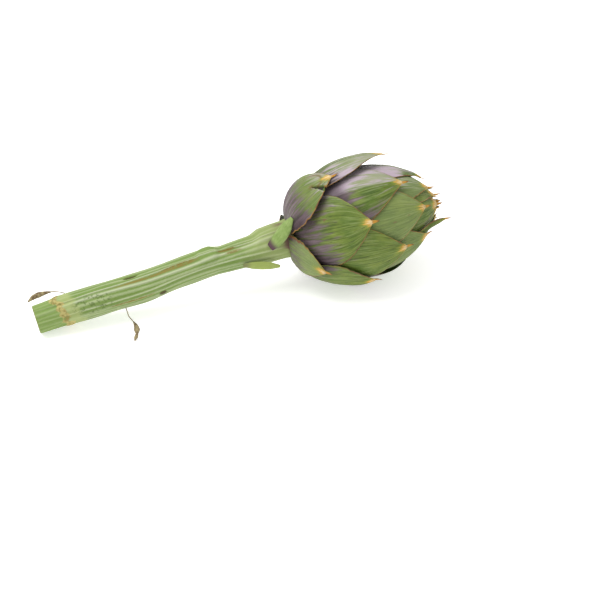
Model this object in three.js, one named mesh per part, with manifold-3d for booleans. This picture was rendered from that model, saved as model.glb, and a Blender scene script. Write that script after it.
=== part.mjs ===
// A violet artichoke cut with a long stem, lying on its side with its head towards +X.
// Millimetres, +Z up. The origin is on the surface that it lies on, under the middle of the whole.
import * as THREE from "three";
import { mergeVertices } from "three/addons/utils/BufferGeometryUtils.js";
import Module from "manifold-3d";

const { clamp, degToRad, lerp, smoothstep } = THREE.MathUtils;

// The head's outside is a surface of revolution about its own axis, from the neck to the apex.
const HEAD_RADIUS = 39;
const HEAD_HALF_LENGTH = 50;
const SHOULDER_POWER = 0.8; // below 1, the half of the head next to the stem is fuller
const CROWN_POWER = 1.1; // above 1, the other half is slimmer
const CROWN_RISE = 1.5; // how far the apex grew off the axis, towards the top
const NECK_RADIUS = 13;
const MERIDIAN_STEPS = 60;

// The bracts grow on one spiral. An index counts along it, and bract 0 is the one on top.
const FIRST_BRACT = -3;
const LAST_BRACT = 26;
const BUD_INDEX = 28.5;
const GOLDEN_ANGLE = 137.5;
const TIP_DISTANCE = 83.3; // from the apex to the tip of bract 0, along the head's surface
const TIP_DECAY = 8.94; // the number of bracts over which that distance falls to 1/e
const LAYER_STEP = 0.5; // how much deeper each next bract lies, LAYER_DISTANCE from the apex
const LAYER_DISTANCE = 60;
const LAYER_POWER = 0.35;
// Some bracts grew off their places on the spiral: degrees further round, mm further from the apex.
const IRREGULAR = new Map([
  [-3, [-40, 0]],
  [-2, [17, -3.5]],
  [0, [2, 1]],
  [1, [-15, -4.5]],
  [2, [-24, 0]],
  [3, [3, 9]],
  [5, [9, 1]],
  [6, [-15, 5.5]],
  [8, [0, 8]],
  [9, [10, 8]],
  [11, [-19, 3.5]],
  [13, [-14, 0]],
  [14, [-24, 10]],
  [16, [-31, 3]],
  [18, [-9, 0]],
  [19, [8, 3]],
]);
const BASE_TURNS = new Map([[-2, -14], [1, 32], [6, 8]]); // degrees that a base lies round from its tip

// One bract.
const BRACT_THICKNESS = 0.95;
const BRACT_HALF_WIDTH = 29;
const BRACT_HALF_ANGLE = 0.8; // how far round the head a bract reaches to each side
const SLENDER_HALF_ANGLES = new Map([[5, 0.6], [19, 0.17]]);
const WIDEST_PART = 0.55; // of the bract's length, from its tip
const OUTLINE_POWER = 1.5;
const WRAP_SHARPNESS = 6; // how sharply the outline gives way to BRACT_HALF_ANGLE
const SPINE_LENGTH = 3.2;
const SPINE_RADIUS = 1.1;
const SPINE_LEAN = 0.15; // outwards, for each unit of its length
const SPINE_SHARE = 0.6; // of the distance from tip to apex, the most that a spine is long
const LIFT_REACH = 0.75; // of the distance from tip to apex: the stretch that stands off the head
const USUAL_LIFT = 1.2;
const LIFT_SPREAD = 0.8; // how much more or less than usual a tip stands off
const LIFT_PHASE = 5.1; // radians from one bract to the next, so that neighbours differ
const SHUT_COSINE = -0.8; // of the azimuth under the head, where tips are pressed shut
const FREE_COSINE = 0.2; // and of the azimuth from which they are free
const LIFTED_TIPS = new Map([[0, 2.4], [5, 0], [14, 0.5], [18, 0.3], [19, 6]]);
const OPEN_BLADES = new Map([[5, 4.5]]); // stands off the head from its base on, so far at its tip
const OPEN_REACH = 1.5; // the stretch over which it does, of the distance from tip to apex
const BELLIES = new Map([[0, 3.2], [5, 1.5]]); // how far a blade bulges between its tip and its base
const BRACT_SIDES = 12;
const BRACT_RINGS = 11;
const GAP = 0.6;
const BUD_RINGS = 12;
const BUD_SIDES = 20;

// The stem runs back from the neck. The broad receptacle that carries the bracts tops it.
const STEM_ROUTE = [
  [-160.5, -3.4, -22.85],
  [-125, -2.8, -17.7],
  [-94, -3.3, -13.3],
  [-70, -1.3, -9.8],
  [-48, 0.2, -6.7],
  [-22, -0.1, -3],
];
const STEM_RADII = [9.2, 9.6, 9.7, 9.6, 8.9, 9.1, 10.5, 12]; // evenly spaced, from the cut to the neck
const RECEPTACLE_RADIUS = 17;
const RECEPTACLE_HEIGHT = 21;
const RECEPTACLE_DOME = 3.5;
const DOME_EDGE_DEPTH = 0.3; // of the dome's height, under its top
const DOME_EDGE_RADIUS = 0.6; // of the receptacle's radius
const RIB_COUNT = 9;
const RIB_HEIGHT = 0.4;
const RIB_FADE = 20; // the stretch below the neck over which the ribs fade
const STEM_SIDES = 45;
const STEM_RINGS = 20;
const SHRED_SIDES = 10;

// How the whole lies.
const HEAD_TILT = degToRad(6);
const HEAD_YAW = degToRad(-4.7);
const NECK_HEIGHT = 32.35;
const FLOOR_SIZE = 1000;

const headAxis = new THREE.Vector3(
  Math.cos(HEAD_TILT) * Math.cos(HEAD_YAW),
  Math.cos(HEAD_TILT) * Math.sin(HEAD_YAW),
  Math.sin(HEAD_TILT),
);
const UP = new THREE.Vector3(0, 0, 1);

const wasm = await Module();
wasm.setup();

const bractMaterial = new THREE.MeshStandardMaterial({ color: 0x6f7d55, roughness: 0.6, metalness: 0 });
const stemMaterial = new THREE.MeshStandardMaterial({ color: 0x9bab78, roughness: 0.75, metalness: 0 });
const leafMaterial = new THREE.MeshStandardMaterial({ color: 0x86a355, roughness: 0.65, metalness: 0 });
const dryMaterial = new THREE.MeshStandardMaterial({ color: 0x77684b, roughness: 0.9, metalness: 0 });

// A closed solid of rings. place(ring, turn) gives the point of a ring that is turn, 0 to 1, of the
// way round it. The first and the last ring are single points.
function ringSolid(rings, sides, place) {
  const geometry = new THREE.SphereGeometry(1, sides, rings);
  const { position, uv } = geometry.attributes;
  for (let i = 0; i < position.count; i++) {
    const ring = Math.round((1 - uv.getY(i)) * rings);
    const point = place(ring, uv.getX(i));
    position.setXYZ(i, point.x, point.y, point.z);
  }
  geometry.deleteAttribute("uv");
  geometry.deleteAttribute("normal");
  const merged = mergeVertices(geometry);
  merged.computeVertexNormals();
  return merged;
}

// The head's outline as (radius, height) from the neck to the apex, height along the head's axis.
function makeMeridian() {
  const neckSine = -Math.sqrt(1 - Math.pow(NECK_RADIUS / HEAD_RADIUS, 2 / SHOULDER_POWER));
  const points = [];
  for (let i = 0; i <= MERIDIAN_STEPS; i++) {
    const angle = lerp(Math.asin(neckSine), Math.PI / 2, i / MERIDIAN_STEPS);
    const power = angle < 0 ? SHOULDER_POWER : CROWN_POWER;
    const radius = HEAD_RADIUS * Math.pow(Math.max(Math.cos(angle), 0), power);
    points.push(new THREE.Vector2(radius, HEAD_HALF_LENGTH * (Math.sin(angle) - neckSine)));
  }
  return new THREE.SplineCurve(points);
}

const meridian = makeMeridian();
const meridianLength = meridian.getLength();

function bractAzimuth(index) {
  const [turn] = IRREGULAR.get(index) ?? [0, 0];
  return degToRad(index * GOLDEN_ANGLE + turn);
}

function tipDistance(index) {
  const [, shift] = IRREGULAR.get(index) ?? [0, 0];
  return TIP_DISTANCE * Math.exp(-index / TIP_DECAY) + shift;
}

// How closely the bracts lie and how thick they are, compared with LAYER_DISTANCE from the apex.
function localScale(distance) {
  return Math.pow(distance / LAYER_DISTANCE, LAYER_POWER);
}

// A point of the layer that a bract lies in, lifted outwards by lift, as (radius, height).
function layerPoint(index, distance, lift) {
  const u = clamp(1 - distance / meridianLength, 0, 1);
  const tangent = meridian.getTangentAt(u);
  const outward = new THREE.Vector2(tangent.y, -tangent.x);
  const outermost = -TIP_DECAY * Math.log(distance / TIP_DISTANCE);
  const depth = LAYER_STEP * localScale(distance) * Math.max(index - outermost, -2);
  return meridian.getPointAt(u).addScaledVector(outward, lift - depth);
}

// From (radius, height) to the head's own frame. Azimuth 0 is on top, and it grows towards -Y.
function aroundHead(point, azimuth) {
  const rise = CROWN_RISE * Math.pow(clamp(point.y / HEAD_HALF_LENGTH - 1, 0, 1), 2);
  return new THREE.Vector3(point.x * Math.cos(azimuth) + rise, point.x * Math.sin(azimuth), point.y);
}

function receptacleRadius(height) {
  return lerp(STEM_RADII.at(-1), RECEPTACLE_RADIUS, clamp(height / RECEPTACLE_HEIGHT, 0, 1));
}

// The distance from the apex at which test(distance) stops being true.
function lastDistance(near, test) {
  let far = meridianLength;
  for (let step = 0; step < 30; step++) {
    const middle = (near + far) / 2;
    if (test(middle)) near = middle;
    else far = middle;
  }
  return near;
}

function clearOfReceptacle(index, distance) {
  const point = layerPoint(index, distance, -BRACT_THICKNESS);
  return point.x > receptacleRadius(point.y) + GAP;
}

// How far a bract's tip stands off the head. Those under the head are pressed shut.
function tipLift(index) {
  const free = smoothstep(Math.cos(bractAzimuth(index)), SHUT_COSINE, FREE_COSINE);
  const usual = USUAL_LIFT + LIFT_SPREAD * Math.sin(LIFT_PHASE * index);
  return LIFTED_TIPS.get(index) ?? free * usual * localScale(tipDistance(index));
}

// One bract: a blade that wraps the head, thin at its edges, with a spine at its tip.
function bractGeometry(index) {
  const tip = tipDistance(index);
  const length = lastDistance(tip, (distance) => clearOfReceptacle(index, distance)) - tip;
  const azimuth = bractAzimuth(index);
  const lift = tipLift(index);
  const reach = LIFT_REACH * tip;
  const broadest = Math.min(BRACT_HALF_WIDTH, WIDEST_PART * length);
  const spineLength = Math.min(SPINE_LENGTH, SPINE_SHARE * tip);
  const baseTurn = degToRad(BASE_TURNS.get(index) ?? 0);

  const middle = (back) => {
    const curl = Math.pow(clamp(1 - back / reach, 0, 1), 2);
    const open = clamp(1 - back / (OPEN_REACH * tip), 0, 1);
    const belly = Math.sin((Math.PI * back) / length);
    const stand = lift * curl + (OPEN_BLADES.get(index) ?? 0) * open + (BELLIES.get(index) ?? 0) * belly;
    return layerPoint(index, tip + back, stand);
  };
  const halfWidth = (back, radius) => {
    const rest = 1 - clamp(back / (WIDEST_PART * length), 0, 1);
    const blade = SPINE_RADIUS + broadest * (1 - Math.pow(rest, OUTLINE_POWER));
    const wrap = (SLENDER_HALF_ANGLES.get(index) ?? BRACT_HALF_ANGLE) * radius;
    return Math.pow(blade ** -WRAP_SHARPNESS + wrap ** -WRAP_SHARPNESS, -1 / WRAP_SHARPNESS);
  };

  const tipPoint = middle(0);
  const along = tipPoint.clone().sub(middle(2)).normalize();
  const spineEnd = tipPoint
    .clone()
    .addScaledVector(along, spineLength)
    .addScaledVector(new THREE.Vector2(along.y, -along.x), SPINE_LEAN * spineLength);

  return ringSolid(BRACT_RINGS, BRACT_SIDES, (ring, turn) => {
    if (ring === 0) return aroundHead(middle(length), azimuth + baseTurn);
    if (ring === BRACT_RINGS) return aroundHead(spineEnd, azimuth);
    const back = length * (1 - (ring - 1) / (BRACT_RINGS - 2));
    const across = turn < 0.5 ? 1 - 4 * turn : 4 * turn - 3;
    const side = turn < 0.5 ? 1 : -1;
    const point = middle(back);
    const angle =
      azimuth + (baseTurn * back) / length + (across * halfWidth(back, point.x)) / point.x;
    const half = (localScale(tip + back) * BRACT_THICKNESS) / 2;
    const before = middle(Math.max(back - 1, 0));
    const after = middle(back + 1);
    const tangent = before.sub(after).normalize();
    const outward = new THREE.Vector2(tangent.y, -tangent.x);
    point.addScaledVector(outward, side * half * Math.sqrt(Math.max(1 - across * across, 0)));
    return aroundHead(point, angle);
  });
}

// The youngest bracts, still folded round each other in one tight cone.
function budGeometry() {
  const floor = RECEPTACLE_HEIGHT + RECEPTACLE_DOME + GAP;
  const base = lastDistance(0, (distance) => layerPoint(BUD_INDEX, distance, 0).y > floor);
  return ringSolid(BUD_RINGS, BUD_SIDES, (ring, turn) => {
    if (ring === 0) return new THREE.Vector3(0, 0, floor);
    const distance = (base * (BUD_RINGS - ring)) / (BUD_RINGS - 1);
    if (ring === BUD_RINGS) return aroundHead(new THREE.Vector2(0, meridian.getPoint(1).y), 0);
    return aroundHead(layerPoint(BUD_INDEX, distance, 0), Math.PI * (1 - 2 * turn));
  });
}

function stemCurve() {
  const route = STEM_ROUTE.map((point) => new THREE.Vector3(...point));
  const top = RECEPTACLE_HEIGHT + RECEPTACLE_DOME;
  for (const height of [0, top / 2, top]) route.push(headAxis.clone().multiplyScalar(height));
  return new THREE.CatmullRomCurve3(route);
}

// The stem's radius at a part, 0 to 1, of its way from the cut to the neck.
function stemRadius(part) {
  const place = clamp(part, 0, 1) * (STEM_RADII.length - 1);
  const before = Math.min(Math.floor(place), STEM_RADII.length - 2);
  return lerp(STEM_RADII[before], STEM_RADII[before + 1], place - before);
}

// Stem and receptacle are one growth: a ribbed stem that widens into the disc under the bracts.
function stemGeometry() {
  const curve = stemCurve();
  const whole = curve.getLength();
  const neck = whole - RECEPTACLE_HEIGHT - RECEPTACLE_DOME;
  const rings = [[0, 0]];
  for (let i = 0; i <= STEM_RINGS; i++) {
    rings.push([(neck * i) / STEM_RINGS, stemRadius(i / STEM_RINGS)]);
  }
  for (const part of [1 / 3, 2 / 3, 1]) {
    rings.push([neck + part * RECEPTACLE_HEIGHT, receptacleRadius(part * RECEPTACLE_HEIGHT)]);
  }
  rings.push([whole - DOME_EDGE_DEPTH * RECEPTACLE_DOME, DOME_EDGE_RADIUS * RECEPTACLE_RADIUS]);
  rings.push([whole, 0]);
  return ringSolid(rings.length - 1, STEM_SIDES, (ring, turn) => {
    const [distance, radius] = rings[ring];
    const tangent = curve.getTangentAt(distance / whole);
    const top = UP.clone().addScaledVector(tangent, -UP.dot(tangent)).normalize();
    const side = tangent.clone().cross(top);
    const azimuth = Math.PI * (1 - 2 * turn);
    const ribbed = clamp((neck - distance) / RIB_FADE, 0, 1) * Math.min(radius, 1);
    const reach = radius + ribbed * RIB_HEIGHT * Math.cos(RIB_COUNT * azimuth);
    return curve
      .getPointAt(distance / whole)
      .addScaledVector(top, reach * Math.cos(azimuth))
      .addScaledVector(side, reach * Math.sin(azimuth));
  });
}

// A thin leaf or shred along a route. Each section is [half width, half thickness], from end to end.
function shredGeometry(route, flatTowards, sections) {
  const curve = new THREE.CatmullRomCurve3(route);
  const last = sections.length - 1;
  return ringSolid(sections.length + 1, SHRED_SIDES, (ring, turn) => {
    const step = clamp(ring - 1, 0, last);
    const point = curve.getPointAt(step / last);
    if (ring === 0 || ring === sections.length + 1) return point;
    const tangent = curve.getTangentAt(step / last);
    const outward = flatTowards.clone().addScaledVector(tangent, -flatTowards.dot(tangent)).normalize();
    const side = tangent.clone().cross(outward);
    const azimuth = Math.PI * (1 - 2 * turn);
    return point
      .addScaledVector(outward, sections[step][1] * Math.cos(azimuth))
      .addScaledVector(side, sections[step][0] * Math.sin(azimuth));
  });
}

// Two small leaves left at the top of the stem. Their routes are [radius, azimuth, height].
function onHead([radius, degrees, height]) {
  return aroundHead(new THREE.Vector2(radius, height), degToRad(degrees));
}

const neckLeaf = {
  route: [[13.4, 66, -11.5], [17.6, 46, -4.5], [25.4, 26, 4.5]].map(onHead),
  flatTowards: onHead([1, 45, -0.8]),
  sections: [[2.8, 1.1], [4.2, 1.5], [4.5, 1.6], [3.8, 1.3], [1.3, 0.6]],
};
const stemLeaf = {
  route: [[14.2, 100, -30], [15.6, 109, -19], [17.5, 118, -7.5]].map(onHead),
  flatTowards: onHead([1, 88, 0]),
  sections: [[1.2, 0.5], [2.6, 0.6], [3, 0.6], [2.6, 0.6], [1, 0.4]],
};

// Two dried shreds of old leaves that still hang on the stem. Heights are over the surface.
const cutEndShred = {
  route: [[-163, 7.2, 16], [-159.2, 8.2, 18], [-153.5, 8, 19.6], [-145, 5.8, 20.8], [-140.5, 3.4, 20.4]],
  flatTowards: new THREE.Vector3(0, -0.75, 0.65),
  sections: [[0.4, 0.3], [1.5, 0.35], [1.8, 0.35], [1.1, 0.35], [0.4, 0.3], [0.35, 0.3], [0.3, 0.3]],
};
const hangingShred = {
  route: [
    [-106, -10.8, 10.8],
    [-105.3, -10.6, 7],
    [-104.6, -10.4, 3.6],
    [-103.2, -12.5, 2],
    [-102, -17, 1.2],
    [-103.1, -24.6, 0.8],
    [-106, -32, 1.8],
  ],
  flatTowards: new THREE.Vector3(0, 0, 1),
  sections: [
    [0.3, 0.3],
    [0.3, 0.3],
    [0.3, 0.3],
    [0.3, 0.3],
    [0.3, 0.3],
    [1.6, 0.35],
    [1.9, 0.35],
    [1.1, 0.35],
    [0.4, 0.3],
  ],
};

function addMesh(parent, name, geometry, material) {
  const mesh = new THREE.Mesh(geometry, material);
  mesh.name = name;
  parent.add(mesh);
  return mesh;
}

function solidOf(geometry) {
  const vertProperties = geometry.attributes.position.array;
  const triVerts = new Uint32Array(geometry.index.array);
  return new wasm.Manifold(new wasm.Mesh({ numProp: 3, vertProperties, triVerts }));
}

function geometryOf(solid) {
  const { vertProperties, triVerts } = solid.getMesh();
  const geometry = new THREE.BufferGeometry();
  geometry.setAttribute("position", new THREE.BufferAttribute(vertProperties, 3));
  geometry.setIndex(new THREE.BufferAttribute(triVerts, 1));
  geometry.computeVertexNormals();
  return geometry;
}

// Presses flat whatever of a mesh reaches below the surface that the artichoke lies on.
function restOnSurface(mesh) {
  const box = new THREE.Box3().setFromObject(mesh);
  if (box.min.z >= 0) return;
  const below = new THREE.BoxGeometry(FLOOR_SIZE, FLOOR_SIZE, FLOOR_SIZE);
  below.translate(0, 0, -FLOOR_SIZE / 2);
  below.applyMatrix4(mesh.matrixWorld.clone().invert());
  below.deleteAttribute("uv");
  below.deleteAttribute("normal");
  mesh.geometry = geometryOf(solidOf(mesh.geometry).subtract(solidOf(mergeVertices(below))));
}

function bractName(index) {
  return "bract_" + String(index - FIRST_BRACT + 1).padStart(2, "0");
}

const artichoke = new THREE.Group();

const head = new THREE.Group();
const headTop = UP.clone().addScaledVector(headAxis, -UP.dot(headAxis)).normalize();
const headSide = headAxis.clone().cross(headTop);
head.quaternion.setFromRotationMatrix(new THREE.Matrix4().makeBasis(headTop, headSide, headAxis));
head.position.z = NECK_HEIGHT;
artichoke.add(head);

for (let index = FIRST_BRACT; index <= LAST_BRACT; index++) {
  addMesh(head, bractName(index), bractGeometry(index), bractMaterial);
}
addMesh(head, "inner_bud", budGeometry(), bractMaterial);
for (const [name, leaf] of Object.entries({ neck_leaf: neckLeaf, stem_leaf: stemLeaf })) {
  addMesh(head, name, shredGeometry(leaf.route, leaf.flatTowards, leaf.sections), leafMaterial);
}

const stem = addMesh(artichoke, "stem", stemGeometry(), stemMaterial);
stem.position.z = NECK_HEIGHT;
for (const [name, shred] of Object.entries({ cut_end_shred: cutEndShred, hanging_shred: hangingShred })) {
  const route = shred.route.map((point) => new THREE.Vector3(...point));
  addMesh(artichoke, name, shredGeometry(route, shred.flatTowards, shred.sections), dryMaterial);
}

artichoke.updateMatrixWorld(true);
artichoke.traverse((object) => {
  if (object.isMesh) restOnSurface(object);
});
const middleOfWhole = new THREE.Box3().setFromObject(artichoke, true).getCenter(new THREE.Vector3());
artichoke.position.set(-middleOfWhole.x, -middleOfWhole.y, 0);

export default artichoke;
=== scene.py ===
"""The looks of a violet artichoke that lies on its side, head towards +X.

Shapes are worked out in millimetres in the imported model's frame, and become metres in make_mesh.
"""

import math

import bpy
import numpy as np
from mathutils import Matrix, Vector


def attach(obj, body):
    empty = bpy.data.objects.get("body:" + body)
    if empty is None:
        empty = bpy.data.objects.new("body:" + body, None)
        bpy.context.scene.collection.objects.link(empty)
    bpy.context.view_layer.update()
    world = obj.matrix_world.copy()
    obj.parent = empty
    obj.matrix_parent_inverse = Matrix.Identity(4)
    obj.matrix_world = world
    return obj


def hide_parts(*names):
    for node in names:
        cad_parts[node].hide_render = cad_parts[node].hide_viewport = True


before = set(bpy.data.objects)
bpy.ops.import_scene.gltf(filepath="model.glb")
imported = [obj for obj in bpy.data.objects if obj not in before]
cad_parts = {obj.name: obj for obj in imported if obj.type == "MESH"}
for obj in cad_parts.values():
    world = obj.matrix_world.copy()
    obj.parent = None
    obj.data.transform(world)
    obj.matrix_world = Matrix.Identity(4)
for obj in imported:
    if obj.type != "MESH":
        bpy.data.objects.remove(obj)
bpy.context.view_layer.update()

# Where the head sits: its neck, and the directions of its axis, its top and its side towards -Y.
NECK = np.array([31.011, 3.601, 32.35])
HEAD_TILT = math.radians(6)
HEAD_YAW = math.radians(-4.7)

# The head's outline and the spiral of its bracts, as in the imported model.
HEAD_RADIUS = 39
HEAD_HALF_LENGTH = 50
SHOULDER_POWER = 0.8
CROWN_POWER = 1.1
CROWN_RISE = 1.5
NECK_RADIUS = 13
FIRST_BRACT = -3
LAST_BRACT = 26
LAST_BUD_BRACT = 36
GOLDEN_ANGLE = 137.5
TIP_DISTANCE = 83.3
TIP_DECAY = 8.94
LAYER_STEP = 0.5
LAYER_DISTANCE = 60
LAYER_POWER = 0.35
IRREGULAR = {
    -3: (-40, 0),
    -2: (17, -3.5),
    0: (2, 1),
    1: (-15, -4.5),
    2: (-24, 0),
    3: (3, 9),
    5: (9, 1),
    6: (-15, 5.5),
    8: (0, 8),
    9: (10, 8),
    11: (-19, 3.5),
    13: (-14, 0),
    14: (-24, 10),
    16: (-31, 3),
    18: (-9, 0),
    19: (8, 3),
}
BRACT_THICKNESS = 0.95
BRACT_HALF_WIDTH = 29
BRACT_HALF_ANGLE = 0.8
SLENDER_HALF_ANGLES = {5: 0.6, 19: 0.17}
WIDEST_PART = 0.55
OUTLINE_POWER = 1.5
SPINE_LENGTH = 5
SHORTEST_SPINE = 3.2
SPINE_GROWTH = 0.2  # more spine for each mm between the tip and the apex
SPINE_RADIUS = 1.1
SPINE_LEAN = 0.2  # outwards, for each unit of its length
APEX_SWEEP = 1.6  # how strongly the spines at the apex point along the head
SPINE_ROWS = 8
USUAL_LIFT = 1.2
LIFT_SPREAD = 0.8
LIFT_PHASE = 5.1  # radians from one bract to the next, so that neighbours differ
SHUT_COSINE = -0.8  # of the azimuth under the head, where tips are pressed shut
FREE_COSINE = 0.2  # and of the azimuth from which they are free
LIFT_REACH = 0.75
LIFTED_TIPS = {0: 2.4, 5: 0, 14: 0.5, 18: 0.3, 19: 6}
OPEN_BLADES = {5: 4.5}
OPEN_REACH = 1.5
BELLIES = {0: 3.2, 5: 1.5}
BASE_TURNS = {-2: -14, 1: 32, 6: 8}
GAP = 0.6

# What sets single bracts apart. The keys are their places on the spiral.
SCORCH = {-2: 2.0, 0: 1.4, 1: 1.3}  # how many times as broad the brown margin is
MIDRIB_FOLDS = {8: 2.0, 13: 1.0}
RAGGED = {-2: 0.05, 0: 0.02, 1: 0.02}
USUAL_RAGGED = 0.008
PALENESS = {-2: 0.5, 0: 0.1, 11: 0.35, 14: 0.2, 16: 0.4}
PURPLE = {
    -2: 0.2,
    0: 0.5,
    1: 0.15,
    3: 0.4,
    5: 0.5,
    6: 0.2,
    8: 0.75,
    11: 0.1,
    13: 1,
    14: 0.4,
    16: 0.3,
    19: 0.2,
}
# This bract gets a painted pale sheen on its upper side and painted shade near its base.
SHEEN_AND_SHADE_BRACT = 8
GREEN_TIPPED_BRACT = 19
CRACKED_BRACT = 0
CRACK_START = (8.5, 5.5)  # mm to the side of the midrib, and back from the tip
CRACK_END = (2.5, 13)
CRACK_WIDTH = 1.7
BRUISE_CENTRE = (-1.5, 12)
BRUISE_RADIUS = 6.5
BRUISE_WIDTH = 0.9

# The relief of a bract's outer face.
WAVE_HEIGHT = 0.22
FIBRE_HEIGHT = 0.10
KEEL_HEIGHT = 0.35

STEM_ROUTE = [
    (-160.5, -3.4, -22.85),
    (-125, -2.8, -17.7),
    (-94, -3.3, -13.3),
    (-70, -1.3, -9.8),
    (-48, 0.2, -6.7),
    (-22, -0.1, -3),
]
STEM_RADII = (9.2, 9.6, 9.7, 9.6, 8.9, 9.1, 10.5, 12)  # evenly spaced, from the cut to the neck
RECEPTACLE_RADIUS = 17
RECEPTACLE_HEIGHT = 21
RECEPTACLE_DOME = 3.5
RECEPTACLE_TOP = RECEPTACLE_HEIGHT + RECEPTACLE_DOME
STEM_ROWS = 340
STEM_COLUMNS = 240
RIDGES = 20

# Marks on the stem: mm from the cut, degrees round from the top, half length and half width.
SLOT = (62, -3, 4.4, 0.9)
NICK = (78, 112, 2.4, 1.4)
LIP = (112, 8, 7, 7)
HOLLOW = (131, -10, 14, 12)
STREAKS = ((76, 25, 26, 0.8), (92, 21, 13, 1.3), (60, 95, 14, 0.6), (124, 20, 6, 1.0))
BROWN_SPOT = (128, 38, 5, 1.2)
MOTTLE = (36, 60, 13, 6)
TEAR_PLACE = 14.5  # where the rind was torn, from the cut
CUT_ROWS = 14

# The folded heart that closes the apex.
HEART_HEIGHTS = (60, 80, 96.5)
HEART_SECTIONS = ((6, 6), (6.5, 6.5), (6.5, 6.5), (5.5, 5.5), (3, 3))

# Small leaves and dried shreds. Leaf routes are (radius, azimuth, height) about the head's axis, and
# shred routes start from the point of the floor below the neck. Sections are half width, half thickness.
NECK_LEAF_ROUTE = ((13.4, 66, -11.5), (17.6, 46, -4.5), (25.4, 26, 4.5))
NECK_LEAF_SECTIONS = ((2.8, 1.1), (4.2, 1.5), (4.5, 1.6), (3.8, 1.3), (1.3, 0.6))
STEM_LEAF_ROUTE = ((14.2, 100, -30), (15.6, 109, -19), (17.5, 118, -7.5))
STEM_LEAF_SECTIONS = ((1.2, 0.5), (2.6, 0.6), (3, 0.6), (2.6, 0.6), (1, 0.4))
CUT_END_SHRED_ROUTE = (
    (-163, 7.2, 16),
    (-159.2, 8.2, 18),
    (-153.5, 8, 19.6),
    (-145, 5.8, 20.8),
    (-140.5, 3.4, 20.4),
)
CUT_END_SHRED_BLADE = ((0.4, 0.3), (1.5, 0.35), (1.8, 0.35), (1.1, 0.35), (0.4, 0.3))
HANGING_SHRED_ROUTE = (
    (-106, -10.8, 10.8),
    (-105.3, -10.6, 7),
    (-104.6, -10.4, 3.6),
    (-103.2, -12.5, 2),
    (-102, -17, 1.2),
    (-103.1, -24.6, 0.8),
    (-106, -32, 1.8),
)
HANGING_SHRED_BLADE = ((1.3, 0.35), (1.9, 0.35), (0.8, 0.35), (1.3, 0.35), (0.4, 0.3))
THREAD = ((0.3, 0.3),)

# The studio.
FLOOR_HALF_SIZE = 4.0  # metres, as are the places and sizes below
FLOOR_GLOW = 0.45
WORLD_STRENGTH = 0.85
KEY_PLACE = (-0.35, 0.2, 1.0)
KEY_SIZE = 0.8
KEY_POWER = 9
CAMERA_ELEVATION = math.radians(38)
CAMERA_AZIMUTH = math.radians(18)
CAMERA_DISTANCE = 0.892
TARGET_RIGHT = 0.0095  # of the neck, in the picture
TARGET_BELOW = 0.0384
LENS = 85
SENSOR_WIDTH = 36

AXIS = np.array([
    math.cos(HEAD_TILT) * math.cos(HEAD_YAW),
    math.cos(HEAD_TILT) * math.sin(HEAD_YAW),
    math.sin(HEAD_TILT),
])
TOP = np.array([0, 0, 1]) - AXIS[2] * AXIS
TOP /= np.linalg.norm(TOP)
SIDE = np.cross(AXIS, TOP)


# --- Helpers ---------------------------------------------------------------------------------


def smoothstep(x, low, high):
    t = np.clip((x - low) / (high - low), 0, 1)
    return t * t * (3 - 2 * t)


def ripple(u, v, seed, octaves=8):
    """A smooth random field of u and v, about -1 to 1, with features about one unit across."""
    draw = np.random.default_rng(seed)
    total = np.zeros(np.broadcast(u, v).shape)
    for _ in range(octaves):
        turn, phase = draw.uniform(0, 2 * math.pi, 2)
        pitch = draw.uniform(1.5, 4.5)
        total += np.cos(pitch * (u * math.cos(turn) + v * math.sin(turn)) + phase)
    return total / math.sqrt(octaves)


def grid_faces(rows, columns):
    """The faces of a closed tube: quads between rings, and triangles to a point at each end."""
    row, column = np.mgrid[0 : rows - 1, 0:columns]
    after = (column + 1) % columns
    near, far = row * columns, (row + 1) * columns
    quads = np.stack([near + column, near + after, far + after, far + column], -1).reshape(-1, 4)
    turn = np.arange(columns)
    following = (turn + 1) % columns
    first = np.stack([np.full(columns, rows * columns), following, turn], -1)
    top = (rows - 1) * columns
    last = np.stack([np.full(columns, rows * columns + 1), top + turn, top + following], -1)
    return quads.tolist() + first.tolist() + last.tolist()


def make_mesh(name, rings, fields, material):
    """A closed mesh of rings of points in mm, rings[row, column]. fields holds a number, or three,
    for each point, which the material reads as attributes. What reaches below the floor is flattened."""
    rings[..., 2] = np.maximum(rings[..., 2], 0)
    rows, columns = rings.shape[:2]
    ends = [rings[0].mean(0), rings[-1].mean(0)]
    points = np.concatenate([rings.reshape(-1, 3), ends]) * 0.001
    mesh = bpy.data.meshes.new(name)
    mesh.from_pydata(points, [], grid_faces(rows, columns))
    for field, values in fields.items():
        values = np.asarray(values, float)
        width = 3 if values.ndim == 3 else 1
        flat = values.reshape(rows * columns, width)
        flat = np.concatenate([flat, flat[:columns].mean(0)[None], flat[-columns:].mean(0)[None]])
        kind, slot = ("FLOAT_VECTOR", "vector") if width == 3 else ("FLOAT", "value")
        mesh.attributes.new(field, kind, "POINT").data.foreach_set(slot, flat.ravel().astype("f4"))
    mesh.shade_smooth()
    mesh.materials.append(material)
    return mesh


def add_object(name, data):
    added = bpy.data.objects.new(name, data)
    bpy.context.scene.collection.objects.link(added)
    return added


def add_piece(mesh, node):
    """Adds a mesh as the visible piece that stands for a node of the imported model."""
    piece = add_object(mesh.name, mesh)
    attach(piece, "root")
    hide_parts(node)


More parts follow.
